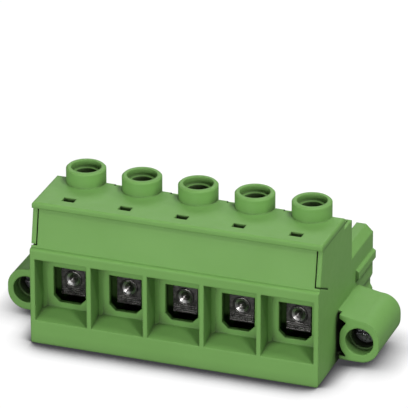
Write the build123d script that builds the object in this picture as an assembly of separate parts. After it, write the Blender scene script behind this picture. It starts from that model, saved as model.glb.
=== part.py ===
"""Pluggable screw terminal block, five poles, with two captive flange screws.

Millimetres, +Z up. The wire entries face -Y, the sockets for the mating header face +Y.
Everything is drawn with the front face at Y = 0 and moved at the end, so that the
origin is the middle of the footprint, on the surface the block stands on.
"""
import os

from build123d import *

# Poles
poles = 5
pitch = 10.16
end_margin = 0.93
body_width = poles * pitch + end_margin

# Side profile of the body: depth from the front face, height above the base
front_top = 17.6
front_round = 0.45
panel_foot = 0.8
panel_head = 2.05
roof_under = 24.5
ledge_top = 23.4
roof_end = 13.4
rear_face = 17.4
base_chamfer = 0.25

# Cheek strips beside the leaning front panel
cheek_strip = 0.835
slit_width = 0.2
slit_depth = 1.6
seam_width = 0.24
seam_start_z = 18.1
seam_end_y = 4.85
seam_end_z = 16.2
seam_groove = 0.25
seam_mouth = 0.6

# Lid
roof_front = 1.6
roof_thick = 1.08
roof_overhang = 0.1
roof_round = 0.42
step_plate = 0.9
step_end = 16.9
step_inset = 0.75
step_play = 0.12
seat_gap = 0.05
notch_width = 1.6
notch_depth = 0.9

# Screw collars on the lid
screw_y = 12.7
collar_outer = 6.9
collar_top = 28.36
collar_chamfer = 0.27
driver_bore = 5.2
driver_step = 1.2
driver_hole = 3.9
guide_bottom = 22.3

# Test slots in the roof
slot_y = 4.45
slot_width = 2.2
slot_length = 1.5

# Wire entries
divider = 0.8
entry_sill = 4.2
entry_sill_back = 5.2
entry_lintel = 15.7
entry_depth = 4.3
entry_corner = 0.55
hole_width = 5.9
hole_bottom = 6.2
hole_top = 12.75
hole_chamfer = 1.1

# Clamp chambers inside the body
chamber_width = 8.3
chamber_front = 5.2
chamber_rear = 16.2
chamber_floor = 1.0
loft_floor = 16.6
loft_front = 3.3

# Clamp sleeves
sleeve_width = 7.8
sleeve_wall = 0.9
sleeve_gap = 0.4
sleeve_travel = 5.6
sleeve_head = 1.5
sleeve_sole = 1.2
sleeve_corner = 0.9
apron_gap = 0.85
cage_setback = 1.35
apron_half_width = 2.2
apron_thick = 0.9
apron_drop = 4.38
dish_centre = 2.47
dish_radius = 1.25
dish_depth = 0.6

# Contact bars
bar_under = 12.9
bar_thick = 1.4
bar_width = 5.5
bar_front = 6.8
bar_leg = 5.6
bar_leg_thick = 1.2
bar_play = 0.15

# Clamp screws
thread_d = 4.0
thread_play = 0.06
head_d = 4.7
head_play = 0.08
head_height = 2.0
driver_slot_width = 0.9
driver_slot_depth = 1.1

# Mating block
mating_end = 29.4
mating_bottom = 1.0
mating_top = 15.3
mating_inset = 0.065
mating_wall = 1.05
socket_floor = 3.6
socket_headroom = 0.2
socket_corner = 0.5
horn_top = 17.2
horn_shoulder = 15.95
horn_bevel = 1.3
horn_flat = 1.7
horn_toe = 1.1
key_low = 10.43
key_high = 12.83
key_slope_low = 0.7
key_slope_high = 0.37
key_rise = 0.55
key_start = 20.0
groove_low = 5.31
groove_high = 7.96
groove_slope_low = 0.74
groove_slope_high = 0.95
groove_depth = 0.4
groove_start = 24.0
coding_width = 1.7
coding_foot = 2.4
coding_lip = 0.35
coding_depth = 0.7
coding_length = 7.0

# Spring sockets
socket_z = 8.6
socket_width = 4.6
leaf_thick = 0.5
leaf_root = 1.6
leaf_mouth = 2.4
leaf_spread = 2.3
leaf_pinch = 0.45
leaf_flare = 1.3
socket_end = 25.0

# Screw flanges
flange_reach = 4.255
flange_z = 5.1
flange_half_width = 3.5
flange_half_height = 3.8
flange_corner = 3.3
flange_front = 9.0
flange_end = 21.0
flange_wall = 1.0
flange_back = 1.5
web_height = 9.95
web_thick = 0.6
web_notch = 0.7
web_notch_depth = 1.4
flange_bore = 5.0
flange_bore_depth = 2.4
flange_head_d = 4.3
flange_head_y = 12.9
flange_head_height = 2.6
flange_neck_d = 2.5
flange_thread_d = 3.0
flange_thread_start = 21.3
flange_screw_play = 0.09
flange_tip = 24.2
tip_chamfer = 0.5
head_chamfer = 0.25
flange_slot_width = 0.8
flange_slot_depth = 1.0

# Values that follow from the ones above
pole_x = [(i - (poles - 1) / 2) * pitch for i in range(poles)]
half_body = body_width / 2
flange_x = half_body + flange_reach
bar_top = bar_under + bar_thick
socket_roof = bar_top + socket_headroom
sleeve_sole_top = bar_under - sleeve_gap
sleeve_head_under = bar_top + sleeve_travel + sleeve_gap
sleeve_top = sleeve_head_under + sleeve_head
sleeve_front = chamber_front + apron_gap
sleeve_rear = chamber_rear - sleeve_gap
panel_lean = (panel_head - panel_foot) / (roof_under - front_top)
cut = 1.0


def side_face(points):
    """Closed outline in the Y-Z plane."""
    return Plane.YZ * make_face(Polyline(*points, close=True))


def across(face, width, x=0.0):
    """Solid of a Y-Z face, extruded to both sides of x."""
    return Pos(x, 0, 0) * extrude(face, amount=width / 2, both=True)


def along(points, y_start, y_end, soften=None, corner=0.0):
    """Solid of an X-Z outline, extruded along the depth, with its corners softened if asked."""
    face = make_face(Polyline(*points, close=True))
    if soften:
        face = soften(face.vertices(), corner)
    return extrude(Plane.XZ.offset(-y_start) * face, amount=y_start - y_end)


def rectangle(x, half, low, high):
    """Corner points of an upright rectangle about x."""
    return [(x - half, low), (x + half, low), (x + half, high), (x - half, high)]


def upright(radius, low, high, x=0.0, y=screw_y):
    """Cylinder that stands on the height low."""
    return Pos(x, y, low) * Cylinder(radius, high - low, align=(Align.CENTER, Align.CENTER, Align.MIN))


def lying(radius, y_start, y_end, x, z):
    """Cylinder that lies along the depth."""
    disc = Plane.XZ.offset(-y_start) * Pos(x, z) * Circle(radius)
    return extrude(disc, amount=y_start - y_end)


def panel_y(height):
    """Depth of the leaning front panel at a height."""
    return panel_foot + panel_lean * (height - front_top)


def body_block():
    """Outer block with the rounded front edge, the leaning panel and the rear ledge."""
    straight = Polyline(
        (front_round, front_top), (panel_foot, front_top), (panel_head, roof_under), (roof_end, roof_under),
        (roof_end, ledge_top), (rear_face, ledge_top), (rear_face, 0), (0, 0), (0, front_top - front_round))
    rounded = TangentArc((0, front_top - front_round), (front_round, front_top), tangent=(0, 1))
    block = across(Plane.YZ * make_face([straight, rounded]), body_width)
    keel = [edge for edge in block.edges().filter_by(Axis.Y) if edge.center().Z < cut]
    return chamfer(keel, base_chamfer)


def lid_pocket():
    """Recess in the rear ledge where the step of the lid rests."""
    front = roof_end - roof_thick - step_play
    back = step_end + seat_gap
    low = ledge_top - step_plate
    sky = roof_under + cut
    outline = side_face([(front, low), (back, low), (back, sky), (front, sky)])
    return across(outline, body_width - 2 * (step_inset - step_play))


def leaning_slab(low, high, depth):
    """Y-Z face just behind the leaning panel, from one height to another."""
    return side_face([
        (panel_y(low) - cut, low), (panel_y(low) + depth, low),
        (panel_y(high) + depth, high), (panel_y(high) - cut, high),
    ])


def cheek_gaps(side):
    """Slit beside the front panel, the gap at the foot of the cheek strip and its slanting seam."""
    slit = across(leaning_slab(seam_start_z, roof_under + cut, slit_depth), slit_width,
                  side * (half_body - cheek_strip - slit_width / 2))
    run = seam_width / 2
    mouth = across(leaning_slab(seam_start_z - run, seam_start_z + run, seam_mouth),
                   2 * (cheek_strip + slit_width), side * half_body)
    start_y = panel_y(seam_start_z)
    seam = across(side_face([
        (start_y, seam_start_z - run), (seam_end_y, seam_end_z - run),
        (seam_end_y, seam_end_z + run), (start_y, seam_start_z + run),
    ]), 2 * seam_groove, side * half_body)
    return slit + mouth + seam


def wire_entry(x):
    """Funnel with a rising sill and the chamfered hole in its back panel."""
    funnel = across(side_face([
        (-cut, entry_sill), (0, entry_sill), (entry_depth, entry_sill_back),
        (entry_depth, entry_lintel), (-cut, entry_lintel),
    ]), pitch - divider, x)
    corners = funnel.edges().filter_by(Axis.Z).group_by(Axis.Y)[-1]
    funnel = chamfer(corners, entry_corner)
    side = hole_width / 2
    hole = along([
        (x - side, hole_bottom + hole_chamfer), (x - side + hole_chamfer, hole_bottom),
        (x + side - hole_chamfer, hole_bottom), (x + side, hole_bottom + hole_chamfer),
        (x + side, hole_top), (x - side, hole_top),
    ], entry_depth - cut, chamber_front + cut)
    return funnel + hole


def clamp_chamber(x):
    """Shaft for one clamp sleeve, open at the top, with the slot for the contact bar."""
    shaft = across(side_face([
        (chamber_front, chamber_floor), (chamber_front, loft_floor), (loft_front, loft_floor),
        (loft_front, roof_under + cut), (chamber_rear, roof_under + cut), (chamber_rear, chamber_floor),
    ]), chamber_width, x)
    half_slot = bar_width / 2 + bar_play
    slot = along(rectangle(x, half_slot, bar_under, bar_top), chamber_rear - cut, rear_face + cut)
    return shaft + slot


def mating_block():
    """Rear block with end horns, side keys, grooves and one socket chamber a pole."""
    half = half_body - mating_inset
    horn_outer = half - horn_bevel
    horn_inner = horn_outer - horn_flat
    right = [
        (half, mating_bottom), (half, horn_shoulder), (horn_outer, horn_top), (horn_inner, horn_top),
        (horn_inner - horn_toe, mating_top),
    ]
    left = [(-x, z) for x, z in reversed(right)]
    block = along(right + left, rear_face - cut / 2, mating_end)
    for side in (-1, 1):
        face = side * half
        crest = side * (half + key_rise)
        block += along([
            (face - side * cut / 2, key_low), (face, key_low), (crest, key_low + key_slope_low),
            (crest, key_high - key_slope_high), (face, key_high), (face - side * cut / 2, key_high),
        ], key_start, mating_end)
        floor = side * (half - groove_depth)
        block -= along([
            (face + side * cut, groove_low), (face, groove_low), (floor, groove_low + groove_slope_low),
            (floor, groove_high - groove_slope_high), (face, groove_high), (face + side * cut, groove_high),
        ], groove_start, mating_end + cut)
    room = pitch / 2 - mating_wall
    for x in pole_x:
        block -= along(rectangle(x, room, socket_floor, socket_roof), rear_face, mating_end + cut,
                       chamfer, socket_corner)
        neck = along(rectangle(x, coding_width / 2, mating_top - coding_depth, mating_top + cut),
                     mating_end - coding_length, mating_end + cut)
        foot = along(rectangle(x, coding_foot / 2, mating_top - coding_depth, mating_top - coding_lip),
                     mating_end - coding_length, mating_end + cut)
        block -= neck + foot
    return block


def screw_flange(side):
    """Oval barrel for a flange screw, joined to the body by two webs with a deep gap between."""
    x = side * flange_x
    low = flange_z - flange_half_height
    high = flange_z + flange_half_height
    oval = Pos(x, flange_z) * RectangleRounded(2 * flange_half_width, 2 * flange_half_height, flange_corner)
    barrel = extrude(Plane.XZ.offset(-flange_front) * oval, amount=flange_front - flange_end)
    root = side * (half_body - cut)
    bridge = along([(root, low), (x, low), (x, high), (root, web_height)], flange_front, flange_end)
    gap_in = side * half_body
    gap_out = side * (flange_x - flange_half_width + flange_wall)
    gap = along([
        (gap_in, low + web_thick), (gap_out, low + web_thick),
        (gap_out, high - web_thick), (gap_in, web_height - web_thick),
    ], flange_front - cut, flange_end - flange_back)
    notch = along([
        (gap_in, low - cut), (gap_in + side * web_notch, low - cut),
        (gap_in + side * web_notch, web_height + cut), (gap_in, web_height + cut),
    ], flange_front - cut, flange_front + web_notch_depth)
    return barrel + (bridge - gap - notch)


def flange_bores(side):
    """Stepped bore of one flange: driver mouth, head pocket and neck hole."""
    x = side * flange_x
    head_r = flange_head_d / 2 + flange_screw_play
    seat = flange_head_y + flange_head_height
    mouth = lying(flange_bore / 2, flange_front - cut, flange_front + flange_bore_depth, x, flange_z)
    pocket = lying(head_r, flange_front, seat, x, flange_z)
    hole = lying(flange_neck_d / 2 + flange_screw_play, seat - cut, flange_end + cut, x, flange_z)
    return mouth + pocket + hole


def make_housing():
    """The moulded body in one piece."""
    body = body_block() - lid_pocket()
    body += mating_block()
    for side in (-1, 1):
        body += screw_flange(side)
        body -= flange_bores(side)
        body -= cheek_gaps(side)
    for x in pole_x:
        body -= wire_entry(x)
        body -= clamp_chamber(x)
    return body


def collar(x):
    """Ring around one driver opening, carried down as a guide tube for the screw head."""
    tube = upright(collar_outer / 2, guide_bottom, collar_top, x)
    rim = tube.edges().filter_by(GeomType.CIRCLE).sort_by(Axis.Z)[-1]
    return chamfer(rim, collar_chamfer)


def collar_bore(x):
    """Stepped bore: wide mouth, narrow driver hole and the pocket of the screw head."""
    mouth = upright(driver_bore / 2, collar_top - driver_step, collar_top + cut, x)
    neck = upright(driver_hole / 2, guide_bottom, collar_top, x)
    pocket = upright(head_d / 2 + head_play, guide_bottom - cut, guide_bottom + head_height + head_play, x)
    return mouth + neck + pocket


def make_lid():
    """Roof, rear step, collars and test slots in one moulding."""
    roof_low = roof_under + seat_gap
    roof_high = roof_low + roof_thick
    step_in = roof_end - roof_thick
    roof = across(side_face([
        (roof_front, roof_low), (roof_front, roof_high), (roof_end, roof_high), (roof_end, roof_low),
    ]), body_width + 2 * roof_overhang)
    roof = fillet(roof.faces().sort_by(Axis.Z)[-1].edges(), roof_round)
    step = across(side_face([
        (step_in, roof_low), (step_in, ledge_top - step_plate), (step_end, ledge_top - step_plate),
        (step_end, ledge_top), (roof_end, ledge_top), (roof_end, roof_low),
    ]), body_width - 2 * step_inset)
    lid = roof + step
    corner = (Align.MAX, Align.MIN, Align.MIN)
    for x in pole_x[1:]:
        lid -= Pos(x - collar_outer / 2 + seat_gap, roof_end - notch_depth, roof_low - cut) * Box(
            notch_width, notch_depth + cut, roof_thick + 2 * cut, align=corner)
    for x in pole_x:
        lid += collar(x)
    for x in pole_x:
        lid -= collar_bore(x)
        lid -= Pos(x, slot_y, roof_low) * Box(slot_width, slot_length, 3 * roof_thick)
    return lid


def make_sleeve(x):
    """Rectangular cage around the contact bar, with a threaded head and a dished guard apron."""
    half = sleeve_width / 2
    low = sleeve_sole_top - sleeve_sole
    cage_front = sleeve_front + cage_setback
    apron_low = low - apron_drop
    cage = along(rectangle(x, half, low, sleeve_top), cage_front, sleeve_rear, fillet, sleeve_corner)
    window = along(rectangle(x, half - sleeve_wall, sleeve_sole_top, sleeve_head_under),
                   cage_front - cut, sleeve_rear + cut)
    tongue = along(rectangle(x, apron_half_width, low, sleeve_sole_top), sleeve_front, cage_front + cut)
    apron = along(rectangle(x, apron_half_width, apron_low, sleeve_sole_top),
                  sleeve_front, sleeve_front + apron_thick)
    dish = Pos(x, sleeve_front, sleeve_sole_top - dish_centre) * Rot(-90, 0, 0) * Cone(
        dish_radius, 0, dish_depth, align=(Align.CENTER, Align.CENTER, Align.MIN))
    thread = upright(thread_d / 2 + thread_play, sleeve_head_under - cut, sleeve_top + cut, x)
    return cage - window - thread + tongue + apron - dish


def make_clamp_screw(x):
    """Slotted cheese-head screw whose tip stands on the contact bar."""
    radius = thread_d / 2
    head = head_d / 2
    tip = bar_top + seat_gap
    top = guide_bottom + head_height
    outline = Polyline(
        (0, tip), (radius, tip), (radius, guide_bottom), (head, guide_bottom), (head, top), (0, top),
        close=True)
    screw = revolve(Plane.XZ * make_face(outline), Axis.Z)
    slot = Pos(0, 0, top) * Box(head_d + cut, driver_slot_width, 2 * driver_slot_depth)
    return Pos(x, screw_y, 0) * (screw - slot)


def make_contact_bar(x):
    """Bar through the sleeve, bent down behind the wall to carry the spring socket."""
    leg = rear_face + seat_gap
    bar = side_face([
        (bar_front, bar_under), (leg, bar_under), (leg, bar_leg), (leg + bar_leg_thick, bar_leg),
        (leg + bar_leg_thick, bar_top), (bar_front, bar_top),
    ])
    return across(bar, bar_width, x)


def make_spring_socket(x):
    """Two leaves folded from one strip, pinched near the mouth and flared at the end."""
    base = rear_face + seat_gap + bar_leg_thick
    root = base + leaf_root
    pinch = socket_end - leaf_mouth
    upper = [
        (base, leaf_spread), (root, leaf_spread), (pinch, leaf_pinch + leaf_thick),
        (socket_end, leaf_flare + leaf_thick), (socket_end, leaf_flare), (pinch, leaf_pinch),
        (root, leaf_spread - leaf_thick), (base + leaf_thick, leaf_spread - leaf_thick),
    ]
    outline = [(y, socket_z + z) for y, z in upper]
    outline += [(y, socket_z - z) for y, z in reversed(upper)]
    return across(side_face(outline), socket_width, x)


def make_flange_screw(side):
    """Slotted screw, captive by its thin neck, that holds the plug on its header."""
    seat = flange_head_y + flange_head_height
    neck = flange_neck_d / 2
    thread = flange_thread_d / 2
    head = flange_head_d / 2
    outline = Polyline(
        (0, flange_head_y), (head - head_chamfer, flange_head_y), (head, flange_head_y + head_chamfer),
        (head, seat), (neck, seat), (neck, flange_thread_start), (thread, flange_thread_start),
        (thread, flange_tip - tip_chamfer), (thread - tip_chamfer, flange_tip), (0, flange_tip), close=True)
    screw = revolve(make_face(outline), Axis.Y)
    slot = Pos(0, flange_head_y, 0) * Box(flange_head_d + cut, 2 * flange_slot_depth, flange_slot_width)
    return Pos(side * flange_x, 0, flange_z) * (screw - slot)


def save(name, shape):
    """Write one piece, moved so that the origin is the middle of the footprint."""
    export_step(Pos(0, -mating_end / 2, 0) * shape, f"parts/{name}.step")


os.makedirs("parts", exist_ok=True)
save("housing_body", make_housing())
save("lid", make_lid())
for number, x in enumerate(pole_x, start=1):
    save(f"clamp_sleeve_{number}", make_sleeve(x))
    save(f"clamp_screw_{number}", make_clamp_screw(x))
    save(f"contact_bar_{number}", make_contact_bar(x))
    save(f"spring_socket_{number}", make_spring_socket(x))
save("flange_screw_left", make_flange_screw(-1))
save("flange_screw_right", make_flange_screw(1))
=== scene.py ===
"""Looks of the pluggable terminal block: camera, light, floor, materials and fine metal details."""
import math

import bpy
from mathutils import Matrix, Vector


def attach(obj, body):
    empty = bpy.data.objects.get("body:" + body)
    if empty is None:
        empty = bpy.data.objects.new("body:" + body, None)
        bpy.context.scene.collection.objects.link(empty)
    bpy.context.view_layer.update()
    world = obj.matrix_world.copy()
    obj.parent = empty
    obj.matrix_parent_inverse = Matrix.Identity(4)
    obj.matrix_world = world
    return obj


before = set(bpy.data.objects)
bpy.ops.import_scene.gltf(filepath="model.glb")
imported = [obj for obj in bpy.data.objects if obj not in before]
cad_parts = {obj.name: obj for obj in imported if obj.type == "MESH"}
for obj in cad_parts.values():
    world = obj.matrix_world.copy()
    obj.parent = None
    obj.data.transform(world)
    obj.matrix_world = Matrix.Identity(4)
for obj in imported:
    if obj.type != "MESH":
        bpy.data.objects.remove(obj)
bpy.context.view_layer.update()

MM = 0.001

# The block, in millimetres. Y is counted from the front face, which lies this far before zero.
HALF_DEPTH = 14.7
POLES = 5
PITCH = 10.16
POLE_X = [(i - POLES // 2) * PITCH for i in range(POLES)]

# Camera fitted to the photograph: degrees, then millimetres along its own right, up and back
CAMERA_AZIMUTH = 19.8352
CAMERA_ELEVATION = 25.0189
CAMERA_ROLL = -0.1119
CAMERA_PLACE = (5.2075, 27.1999, 864.7360)
FOCAL_PIXELS = 5105.5946
PICTURE_PIXELS = 408
SENSOR_WIDTH = 36.0
CLIP_NEAR = 0.05
CLIP_FAR = 20.0

# Guard apron of a clamp sleeve, millimetres: a round wire, a sloping rim inside it, ribs below
APRON_FRONT = 6.05
APRON_HALF = 2.2
EYE_HEIGHT = 10.03
EYE_RADIUS = 1.42
EYE_WIRE = 0.2
RIM_OUTER = 1.22
RIM_INNER = 0.80
RIM_DEPTH = 0.2
RIM_THICKNESS = 0.05
RIB_FIRST = 7.25
RIB_STEP = 0.38
RIB_COUNT = 4
RIB_RADIUS = 0.11
RIB_INSET = 0.1

# Threaded end of a flange screw, millimetres. The half widths of the ridge are shares of the pitch.
FLANGE_X = 30.12
FLANGE_Z = 5.1
THREAD_START = 21.3
THREAD_END = 23.7
THREAD_RADIUS = 1.5
THREAD_PITCH = 0.5
THREAD_CREST = 0.1
THREAD_SINK = 0.04
THREAD_FOOT_HALF = 0.42
THREAD_TOP_HALF = 0.08

# Fineness of the added meshes
RING_STEPS = 48
WIRE_SIDES = 14
RIB_SIDES = 10
THREAD_STEPS = 36
SHARP_DEGREES = 35

# Colours, linear
WHITE = (1.0, 1.0, 1.0, 1.0)
GREEN_DARK = (0.168, 0.356, 0.092, 1.0)
GREEN_LIGHT = (0.178, 0.374, 0.099, 1.0)
# Near-black green: painted shade for recesses and corners of the plastic
GREEN_PAINTED_SHADE = (0.020, 0.024, 0.013, 1.0)
SLEEVE_DARK = (0.055, 0.052, 0.052, 1.0)
SLEEVE_LIGHT = (0.13, 0.125, 0.12, 1.0)
# Rims: a brighter copy of the sleeve steel, so the glint lamp's reflection stands out; partly
# painted highlight
RIM_DARK = (0.26, 0.255, 0.25, 1.0)
RIM_LIGHT = (0.40, 0.395, 0.39, 1.0)
SCREW_DARK = (0.09, 0.09, 0.093, 1.0)
SCREW_LIGHT = (0.18, 0.18, 0.186, 1.0)
TINNED_DARK = (0.50, 0.48, 0.44, 1.0)
TINNED_LIGHT = (0.62, 0.60, 0.55, 1.0)
FLOOR_BOUNCE = (0.30, 0.30, 0.305, 1.0)
# Dark end of the floor's painted contact shadow
FLOOR_PAINTED_SHADOW = (0.0, 0.0, 0.004, 1.0)
FLOOR_OPEN = (1.05, 1.05, 1.05, 1.0)

# Noise: repeats per metre, and the middle part of its values that is used for colour and for sheen
CLOUDS = 90.0
SHEEN = 700.0
GRAIN = 5200.0
MOTTLE = 900.0
POLISH = 2600.0
MARKS = 3200.0
COLOUR_SPAN = (0.35, 0.65)
SHEEN_SPAN = (0.3, 0.7)

# Plastic: lengths in metres, and how open a point is at the dark and the bright end of the painted
# shade in recesses
PLASTIC_ROUGHNESS = (0.52, 0.60)
PLASTIC_SPECULAR = 0.22
PLASTIC_IOR = 1.5
PLASTIC_EDGE = 0.00040
GRAIN_STRENGTH = 0.12
GRAIN_HEIGHT = 0.00005
PAINTED_SHADE_REACH = 0.0045
PAINTED_SHADE_OPEN = (0.29, 0.58)

# Metal: lengths in metres
METAL_ROUGHNESS = (0.22, 0.40)
METAL_EDGE = 0.00012
RIM_EDGE = 0.00003
MARK_STRENGTH = 0.45
RIM_STRENGTH = 0.08
MARK_HEIGHT = 0.00004
DRAWN_ACROSS = (0.25, 1.0, 1.0)

# Floor: reach of its two painted contact shadows in metres, then openness and painted light from
# dark to bright. The body's painted shadow turns into the flange's between two distances inside the
# flange's axis, in millimetres.
FLOOR_SIZE = 3.0
FLOOR_ROUGHNESS = 0.9
BODY_REACH = 0.0070
BODY_OPEN = (0.60, 1.0)
BODY_LIGHT = (0.05, 1.0)
FLANGE_REACH = 0.0055
FLANGE_OPEN = (0.25, 1.0)
FLANGE_LIGHT = (0.05, 0.97)
TURN_START = 4.5
TURN_END = 1.0

# Rays per point for openness and for soft edges
OBJECT_RAYS = 8
FLOOR_RAYS = 16

# World: a faint glow as light, white to the camera
GLOW = 0.02
BACKDROP = 1.02

# Lamps: name, azimuth (0 in front, 90 at the right), elevation, size in metres, power in watts
LAMPS = (
    ("key", 45, 60, 0.10, 1.48),
    ("key_right", 80, 67, 0.14, 1.58),
    ("front_fill", -8, 4, 0.18, 2.15),
    ("left_fill", -60, 12, 0.20, 0.60),
    ("right_back", 110, 38, 0.28, 1.05),
    ("back_left", -150, 38, 0.28, 0.98),
    ("back", 180, 38, 0.28, 0.70),
    ("glint", 17.6, 10.5, 0.06, 0.85),
)
LAMP_DISTANCE = 0.7
LAMP_TARGET = Vector((0, 0, 0.01))


def at(x, y, z):
    """A point given in millimetres from the front face, in the frame's metres."""
    return Vector((x * MM, (y - HALF_DEPTH) * MM, z * MM))


def direction(azimuth, elevation):
    """The way from the block towards a place round it; azimuth 0 is in front, 90 at the right."""
    a, e = math.radians(azimuth), math.radians(elevation)
    return Vector((math.sin(a) * math.cos(e), -math.cos(a) * math.cos(e), math.sin(e)))


def set_camera():
    """Long lens, from the front right and above."""
    azimuth, roll = math.radians(CAMERA_AZIMUTH), math.radians(CAMERA_ROLL)
    back = direction(CAMERA_AZIMUTH, CAMERA_ELEVATION)
    right = Vector((math.cos(azimuth), math.sin(azimuth), 0.0))
    up = back.cross(right)
    right, up = (math.cos(roll) * right + math.sin(roll) * up,
                 -math.sin(roll) * right + math.cos(roll) * up)
    aside, above, away = CAMERA_PLACE
    place = at(0, 0, 0) + MM * (aside * right + above * up + away * back)
    data = bpy.data.cameras.new("camera")
    data.sensor_width = SENSOR_WIDTH
    data.lens = FOCAL_PIXELS / PICTURE_PIXELS * SENSOR_WIDTH
    data.clip_start = CLIP_NEAR
    data.clip_end = CLIP_FAR
    camera = bpy.data.objects.new("camera", data)
    bpy.context.scene.collection.objects.link(camera)
    turn = Matrix((right, up, back)).transposed().to_4x4()
    camera.matrix_world = Matrix.Translation(place) @ turn
    bpy.context.scene.camera = camera


class Nodes:
    """Short way to write a node material."""

    def __init__(self, name):
        self.material = bpy.data.materials.new(name)
        self.material.use_nodes = True
        self.tree = self.material.node_tree
        self.shader = self.tree.nodes["Principled BSDF"]

    def add(self, kind, **values):
        """A new node; each value sets the node's own property or else its input of that name."""
        node = self.tree.nodes.new(kind)
        for key, value in values.items():
            if hasattr(node, key):
                setattr(node, key, value)
            else:
                node.inputs[key.replace("_", " ")].default_value = value
        return node

    def link(self, source, target):
        self.tree.links.new(source, target)

    def set(self, **values):
        """Set inputs of the main shader."""
        for key, value in values.items():
            self.shader.inputs[key.replace("_", " ")].default_value = value

    def shade(self, source, name):
        """Lead a source into an input of the main shader."""
        self.link(source, self.shader.inputs[name])

    def noise(self, scale, detail=3.0, rough=0.5, stretch=(1.0, 1.0, 1.0)):
        """Noise in the object's own coordinates."""
        place = self.add("ShaderNodeTexCoord")
        shape = self.add("ShaderNodeMapping", Scale=stretch)
        node = self.add("ShaderNodeTexNoise", Scale=scale, Detail=detail, Roughness=rough)
        self.link(place.outputs["Object"], shape.inputs["Vector"])
        self.link(shape.outputs["Vector"], node.inputs["Vector"])
        return node.outputs["Fac"]

    def ramp(self, source, span, result=(0.0, 1.0), kind="LINEAR"):
        """Map a span of a source's values on a result."""
        node = self.add("ShaderNodeMapRange", interpolation_type=kind, From_Min=span[0],
                        From_Max=span[1], To_Min=result[0], To_Max=result[1])
        self.link(source, node.inputs["Value"])
        return node.outputs["Result"]

    def mix(self, factor, first, last):
        """Mix two colours; each argument is a value or a socket."""
        node = self.add("ShaderNodeMix", data_type="RGBA")
        of_colour = {socket.identifier: socket for socket in node.inputs}
        targets = ("Factor_Float", "A_Color", "B_Color")
        for value, name in zip((factor, first, last), targets):
            if isinstance(value, (tuple, float, int)):
                of_colour[name].default_value = value
            else:
                self.link(value, of_colour[name])
        return next(s for s in node.outputs if s.identifier == "Result_Color")

    def openness(self, reach, rays):
        """How open a point is within a reach, from 0 to 1."""
        node = self.add("ShaderNodeAmbientOcclusion", samples=rays, Distance=reach)
        return node.outputs["AO"]

    def bump(self, height, strength, distance, edge):
        """Relief from a height, on normals that are rounded over the edges."""
        node = self.add("ShaderNodeBump", Strength=strength, Distance=distance)
        self.link(height, node.inputs["Height"])
        bevel = self.add("ShaderNodeBevel", samples=OBJECT_RAYS, Radius=edge)
        self.link(bevel.outputs["Normal"], node.inputs["Normal"])
        self.shade(node.outputs["Normal"], "Normal")


def camera_sees(tree, light, seen, output):
    """Give the camera one shader and every other ray another."""
    path = tree.nodes.new("ShaderNodeLightPath")
    blend = tree.nodes.new("ShaderNodeMixShader")
    sources = (path.outputs["Is Camera Ray"], light.outputs[0], seen.outputs[0])
    for source, target in zip(sources, blend.inputs):
        tree.links.new(source, target)
    tree.links.new(blend.outputs[0], tree.nodes[output].inputs["Surface"])


def moulded_plastic():
    """Green polyamide with a fine eroded grain, softly rounded edges and painted shade in recesses.
    """
    made = Nodes("moulded_plastic")
    cloud = made.ramp(made.noise(CLOUDS, detail=4.0), COLOUR_SPAN)
    colour = made.mix(cloud, GREEN_DARK, GREEN_LIGHT)
    # Painted shade: the green turns near-black where a point is closed in, in recesses and corners
    depth = made.ramp(made.openness(PAINTED_SHADE_REACH, OBJECT_RAYS), PAINTED_SHADE_OPEN)
    made.shade(made.mix(depth, GREEN_PAINTED_SHADE, colour), "Base Color")
    sheen = made.ramp(made.noise(SHEEN, detail=2.0), SHEEN_SPAN, PLASTIC_ROUGHNESS)
    made.shade(sheen, "Roughness")
    made.bump(made.noise(GRAIN, rough=0.6), GRAIN_STRENGTH, GRAIN_HEIGHT, PLASTIC_EDGE)
    made.set(IOR=PLASTIC_IOR, Specular_IOR_Level=PLASTIC_SPECULAR)
    return made.material


def plated_metal(name, dark, light, stretch=(1.0, 1.0, 1.0), strength=MARK_STRENGTH,
                 edge=METAL_EDGE):
    """Plated metal, slightly mottled, with fine marks that a stretch draws out."""
    made = Nodes(name)
    tone = made.ramp(made.noise(MOTTLE, detail=5.0), COLOUR_SPAN)
    made.shade(made.mix(tone, dark, light), "Base Color")
    made.shade(made.ramp(made.noise(POLISH), SHEEN_SPAN, METAL_ROUGHNESS), "Roughness")
    marks = made.noise(MARKS, rough=0.6, stretch=stretch)
    made.bump(marks, strength, MARK_HEIGHT, edge)
    made.set(Metallic=1.0)
    return made.material


def dress_cad(steel):
    """Put a material on every node of the frame; returns the one of the screws."""
    plastic = moulded_plastic()
    screw = plated_metal("screw_steel", SCREW_DARK, SCREW_LIGHT)
    contact = plated_metal("tinned_metal", TINNED_DARK, TINNED_LIGHT)
    choice = {"housing": plastic, "lid": plastic, "clamp_sleeve": steel, "clamp_screw": screw,
              "flange_screw": screw, "contact_bar": contact, "spring_socket": contact}
    for name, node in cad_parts.items():
        key = next(k for k in choice if name.startswith(k))
        for material_slot in node.material_slots:
            material_slot.material = choice[key]
    return screw


def piece(name, points, faces, material, body, record_slot):
    """A mesh that rides on one body of the frame."""
    mesh = bpy.data.meshes.new(name)
    mesh.from_pydata([tuple(p) for p in points], [], faces)
    mesh.validate()
    for face in mesh.polygons:
        face.use_smooth = True
    mesh.set_sharp_from_angle(angle=math.radians(SHARP_DEGREES))
    mesh.materials.append(material)
    item = bpy.data.objects.new(name, mesh)
    bpy.context.scene.collection.objects.link(item)
    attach(item, body)
    return item


def circle(i, count):
    """Cosine and sine of step i of a circle in count steps."""
    angle = 2 * math.pi * i / count
    return math.cos(angle), math.sin(angle)


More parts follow.
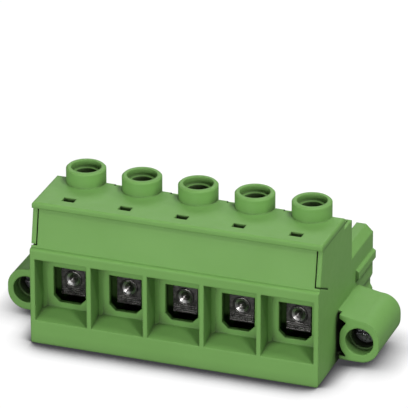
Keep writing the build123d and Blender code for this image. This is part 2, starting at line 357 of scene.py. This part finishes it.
def turned(x, y, z, profile):
    """Points and faces of a closed profile (reach, depth) turned round an axis along Y."""
    sides = len(profile)
    points, faces = [], []
    for i in range(RING_STEPS):
        across, above = circle(i, RING_STEPS)
        here, there = i * sides, (i + 1) % RING_STEPS * sides
        for j, (reach, depth) in enumerate(profile):
            points.append(at(x + reach * across, y + depth, z + reach * above))
            k = (j + 1) % sides
            faces.append((here + j, here + k, there + k, there + j))
    return points, faces


def bar(x, y, z, half, radius):
    """Points and faces of one half-sunk rib across the apron."""
    points = []
    for side in (-1, 1):
        for j in range(RIB_SIDES):
            depth, above = circle(j, RIB_SIDES)
            points.append(at(x + side * half, y + radius * depth, z + radius * above))
    faces = []
    for j in range(RIB_SIDES):
        k = (j + 1) % RIB_SIDES
        faces.append((j, k, RIB_SIDES + k, RIB_SIDES + j))
    faces += [tuple(range(RIB_SIDES))[::-1], tuple(range(RIB_SIDES, 2 * RIB_SIDES))]
    return points, faces


def joined(parts):
    """Several sets of points and faces as one."""
    points, faces = [], []
    for own_points, own_faces in parts:
        shift = len(points)
        points += own_points
        faces += [tuple(k + shift for k in face) for face in own_faces]
    return points, faces


def thread(x, z, start, end):
    """Points and faces of a ridge that winds round a screw lying along Y and fades at its ends."""
    profile = ((-THREAD_FOOT_HALF, -THREAD_SINK), (-THREAD_TOP_HALF, THREAD_CREST),
               (THREAD_TOP_HALF, THREAD_CREST), (THREAD_FOOT_HALF, -THREAD_SINK))
    sides = len(profile)
    count = round((end - start) / THREAD_PITCH * THREAD_STEPS)
    points, faces = [], []
    for i in range(count + 1):
        across, above = circle(i, THREAD_STEPS)
        fade = min(1.0, 2 * i / THREAD_STEPS, 2 * (count - i) / THREAD_STEPS)
        for along, out in profile:
            reach = THREAD_RADIUS + (out if out < 0 else out * fade)
            y = start + THREAD_PITCH * (i / THREAD_STEPS + along)
            points.append(at(x + reach * across, y, z + reach * above))
    for i in range(count):
        for j in range(sides - 1):
            here, there = sides * i + j, sides * (i + 1) + j
            faces.append((here, here + 1, there + 1, there))
    faces += [tuple(range(sides))[::-1], tuple(sides * count + j for j in range(sides))]
    return points, faces


def make_details(steel, bright, screw):
    """Eyes, rims and ribs of the guard aprons, and the threads of the flange screws; the rims get a
    brighter steel as a painted highlight.
    """
    wire = [(EYE_RADIUS + EYE_WIRE * out, EYE_WIRE * back)
            for out, back in (circle(j, WIRE_SIDES) for j in range(WIRE_SIDES))]
    slope = ((RIM_OUTER, -RIM_THICKNESS), (RIM_INNER, RIM_DEPTH - RIM_THICKNESS),
             (RIM_INNER, RIM_DEPTH), (RIM_OUTER, 0.0))
    for i, x in enumerate(POLE_X, start=1):
        body = f"clamp_sleeve_{i}"
        eye = turned(x, APRON_FRONT, EYE_HEIGHT, wire)
        piece(f"apron_eye_{i}", *eye, steel, body, "sleeve_steel")
        rim = turned(x, APRON_FRONT, EYE_HEIGHT, slope)
        piece(f"apron_rim_{i}", *rim, bright, body, "sleeve_steel")
        ribs = [bar(x, APRON_FRONT, RIB_FIRST + k * RIB_STEP, APRON_HALF - RIB_INSET, RIB_RADIUS)
                for k in range(RIB_COUNT)]
        piece(f"apron_ribs_{i}", *joined(ribs), steel, body, "sleeve_steel")
    for side, word in ((-1, "left"), (1, "right")):
        winding = thread(side * FLANGE_X, FLANGE_Z, THREAD_START + THREAD_PITCH, THREAD_END)
        piece(f"flange_thread_{word}", *winding, screw, f"flange_screw_{word}", "screw_steel")


def make_floor():
    """Floor, white to the camera, with a painted contact shadow: dark at the body, lighter at a
    flange.
    """
    bpy.ops.mesh.primitive_plane_add(size=FLOOR_SIZE, location=(0, 0, 0))
    floor = bpy.context.object
    floor.name = "floor"
    made = Nodes("floor_white_painted_shadow")
    made.set(Base_Color=FLOOR_BOUNCE, Roughness=FLOOR_ROUGHNESS, Specular_IOR_Level=0.0)
    wide = made.openness(BODY_REACH, FLOOR_RAYS)
    tight = made.openness(FLANGE_REACH, FLOOR_RAYS)
    place = made.add("ShaderNodeSeparateXYZ")
    made.link(made.add("ShaderNodeNewGeometry").outputs["Position"], place.inputs["Vector"])
    aside = made.add("ShaderNodeMath", operation="ABSOLUTE")
    made.link(place.outputs["X"], aside.inputs[0])
    turn = ((FLANGE_X - TURN_START) * MM, (FLANGE_X - TURN_END) * MM)
    at_flange = made.ramp(aside.outputs["Value"], turn)
    # Painted shadow: the camera sees an emission that darkens where the floor is closed in by the
    # block
    by_body = made.ramp(wide, BODY_OPEN, BODY_LIGHT, kind="SMOOTHSTEP")
    by_flange = made.ramp(tight, FLANGE_OPEN, FLANGE_LIGHT)
    painted_shadow = made.mix(at_flange, by_body, by_flange)
    seen = made.add("ShaderNodeEmission")
    made.link(made.mix(painted_shadow, FLOOR_PAINTED_SHADOW, FLOOR_OPEN), seen.inputs["Color"])
    camera_sees(made.tree, made.shader, seen, "Material Output")
    floor.data.materials.append(made.material)


def area_light(name, azimuth, elevation, size, power):
    """A round lamp that looks at the block."""
    way = direction(azimuth, elevation)
    data = bpy.data.lights.new(name, "AREA")
    data.shape = "DISK"
    data.size = size
    data.energy = power
    lamp = bpy.data.objects.new(name, data)
    lamp.location = LAMP_TARGET + LAMP_DISTANCE * way
    lamp.rotation_euler = (-way).to_track_quat("-Z", "Y").to_euler()
    bpy.context.scene.collection.objects.link(lamp)


def set_light():
    """World and lamps."""
    world = bpy.data.worlds.new("world")
    bpy.context.scene.world = world
    world.use_nodes = True
    tree = world.node_tree
    glow = tree.nodes["Background"]
    seen = tree.nodes.new("ShaderNodeBackground")
    for node, strength in ((glow, GLOW), (seen, BACKDROP)):
        node.inputs["Color"].default_value = WHITE
        node.inputs["Strength"].default_value = strength
    camera_sees(tree, glow, seen, "World Output")
    for lamp in LAMPS:
        area_light(*lamp)


set_camera()
make_floor()
set_light()
sleeve_steel = plated_metal("sleeve_steel", SLEEVE_DARK, SLEEVE_LIGHT, stretch=DRAWN_ACROSS)
# Brighter copy of the sleeve steel for the rims: painted highlight on top of a real glint
rim_steel_painted_highlight = plated_metal("rim_steel_painted_highlight", RIM_DARK, RIM_LIGHT, strength=RIM_STRENGTH, edge=RIM_EDGE)
make_details(sleeve_steel, rim_steel_painted_highlight, dress_cad(sleeve_steel))

bpy.context.scene.view_settings.view_transform = "Standard"
